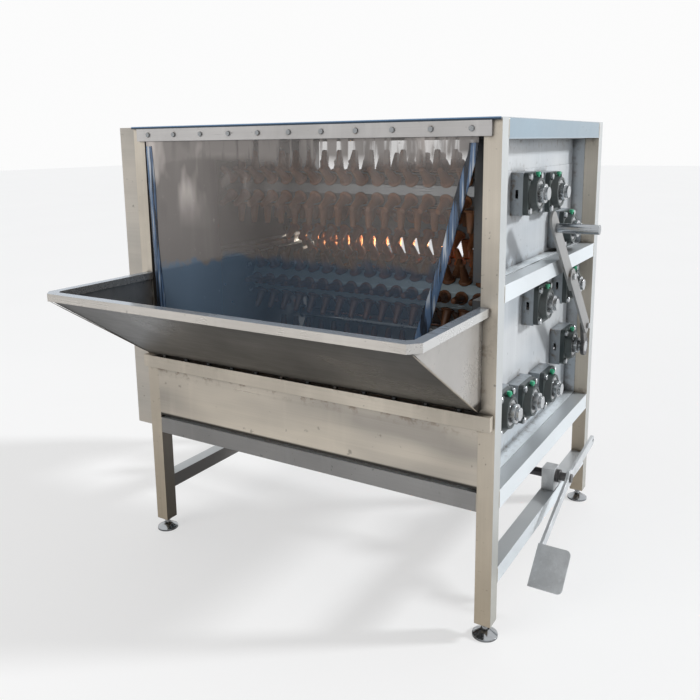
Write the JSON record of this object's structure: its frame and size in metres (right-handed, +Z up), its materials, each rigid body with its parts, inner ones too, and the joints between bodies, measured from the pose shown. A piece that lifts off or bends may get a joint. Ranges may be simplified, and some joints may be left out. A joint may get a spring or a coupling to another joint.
{
  "type": "poultry plucker",
  "caption": "Floor-standing stainless poultry plucker: a sloped front hopper and clear curtain feed birds to horizontal rollers of rubber fingers; a hand lever swings the outlet flap.",
  "frame": {"origin": "on the floor, midway between the four feet", "axes": "+X to the machine's right side with the lever, +Y to its back, +Z up"},
  "size_m": [1.555, 1.725, 1.502],
  "materials": {
    "stainless": "brushed",
    "bright_steel": "fine brushed",
    "cast_iron": "painted casting",
    "green_plastic": "moulded",
    "clear_vinyl": "clear, flexible",
    "motor_paint": "satin paint",
    "dark_steel": "dark oxide",
    "belt_rubber": "matt",
    "chrome": "polished",
    "finger_rubber": "moulded rubber"
  },
  "bodies": {
    "frame": {"frame_posts": "stainless", "frame_rails": "stainless", "front_beam": "stainless", "front_skirt": "stainless", "rear_cover": "stainless", "hopper_shell": "stainless", "clamp_strip": "stainless", "drive_guard": "stainless", "motor_bracket": "stainless", "pedal_brackets": "stainless", "top_cover": "bright_steel", "right_side_panels": "bright_steel", "left_side_panels": "bright_steel", "bearing_plates": "bright_steel", "bearing_standoffs": "bright_steel", "bearing_inserts": "bright_steel", "bearing_bolts": "bright_steel", "hopper_rim": "bright_steel", "front_bolts": "bright_steel", "bearing_housings": "cast_iron", "grease_caps": "green_plastic", "drive_gearbox": "motor_paint", "drive_motor": "motor_paint", "drive_belts": "belt_rubber", "levelling_feet": "chrome"},
    "top_front_roller": {"top_front_drum": "bright_steel", "top_front_shaft": "bright_steel", "top_front_fingers": "finger_rubber"},
    "top_rear_roller": {"top_rear_drum": "bright_steel", "top_rear_shaft": "bright_steel", "top_rear_fingers": "finger_rubber"},
    "back_upper_roller": {"back_upper_drum": "bright_steel", "back_upper_shaft": "bright_steel", "back_upper_fingers": "finger_rubber"},
    "back_lower_roller": {"back_lower_drum": "bright_steel", "back_lower_shaft": "bright_steel", "back_lower_fingers": "finger_rubber"},
    "centre_roller": {"centre_drum": "bright_steel", "centre_shaft": "bright_steel", "centre_fingers": "finger_rubber"},
    "floor_rear_roller": {"floor_rear_drum": "bright_steel", "floor_rear_shaft": "bright_steel", "floor_rear_fingers": "finger_rubber"},
    "floor_middle_roller": {"floor_middle_drum": "bright_steel", "floor_middle_shaft": "bright_steel", "floor_middle_fingers": "finger_rubber"},
    "floor_front_roller": {"floor_front_drum": "bright_steel", "floor_front_shaft": "bright_steel", "floor_front_fingers": "finger_rubber"},
    "motor_drive": {"motor_pulley": "dark_steel"},
    "discharge_door": {"flap_shaft": "bright_steel", "outlet_flap": "stainless", "lever_crank": "dark_steel", "lever_bars": "stainless", "lever_grip": "chrome", "lever_bolts": "bright_steel"},
    "pedal": {"pedal_shaft": "dark_steel", "pedal_arm": "stainless", "pedal_plate": "stainless"},
    "curtain": {"curtain": "clear_vinyl"}
  },
  "joints": [
    {"name": "top_front_spin", "type": "hinge", "parent": "frame", "child": "top_front_roller", "pos_m": [0, -0.14, 1.28], "axis": [1, 0, 0], "continuous": true},
    {"name": "top_rear_spin", "type": "hinge", "parent": "frame", "child": "top_rear_roller", "pos_m": [0, 0.08, 1.272], "axis": [1, 0, 0], "continuous": true},
    {"name": "back_upper_spin", "type": "hinge", "parent": "frame", "child": "back_upper_roller", "pos_m": [0, 0.255, 1.132], "axis": [1, 0, 0], "continuous": true},
    {"name": "back_lower_spin", "type": "hinge", "parent": "frame", "child": "back_lower_roller", "pos_m": [0, 0.33, 0.92], "axis": [1, 0, 0], "continuous": true},
    {"name": "centre_spin", "type": "hinge", "parent": "frame", "child": "centre_roller", "pos_m": [0, 0, 0.908], "axis": [1, 0, 0], "continuous": true},
    {"name": "floor_rear_spin", "type": "hinge", "parent": "frame", "child": "floor_rear_roller", "pos_m": [0, 0.092, 0.59], "axis": [1, 0, 0], "continuous": true},
    {"name": "floor_middle_spin", "type": "hinge", "parent": "frame", "child": "floor_middle_roller", "pos_m": [0, -0.127, 0.61], "axis": [1, 0, 0], "continuous": true},
    {"name": "floor_front_spin", "type": "hinge", "parent": "frame", "child": "floor_front_roller", "pos_m": [0, -0.346, 0.64], "axis": [1, 0, 0], "continuous": true},
    {"name": "motor_spin", "type": "hinge", "parent": "frame", "child": "motor_drive", "pos_m": [0, 0.66, 1], "axis": [1, 0, 0], "continuous": true},
    {"name": "door_swing", "type": "hinge", "parent": "frame", "child": "discharge_door", "pos_m": [0, 0.33, 0.69], "axis": [1, 0, 0], "range_deg": [0, 45]},
    {"name": "pedal_press", "type": "hinge", "parent": "frame", "child": "pedal", "pos_m": [0, 0.11, 0.262], "axis": [1, 0, 0], "range_deg": [0, 7], "stiffness_Nm_per_rad": 20, "springref_deg": -22.92},
    {"name": "curtain_swing", "type": "hinge", "parent": "frame", "child": "curtain", "pos_m": [0, -0.54, 1.4524], "axis": [1, 0, 0], "range_deg": [-15, 3]}
  ],
  "couplings": [
    {"joint": "top_rear_spin", "follows": "top_front_spin", "ratio": 1},
    {"joint": "back_upper_spin", "follows": "top_front_spin", "ratio": 1},
    {"joint": "back_lower_spin", "follows": "top_front_spin", "ratio": 1},
    {"joint": "centre_spin", "follows": "top_front_spin", "ratio": 1},
    {"joint": "floor_rear_spin", "follows": "top_front_spin", "ratio": 1},
    {"joint": "floor_middle_spin", "follows": "top_front_spin", "ratio": 1},
    {"joint": "floor_front_spin", "follows": "top_front_spin", "ratio": 1},
    {"joint": "motor_spin", "follows": "top_front_spin", "ratio": 1}
  ]
}
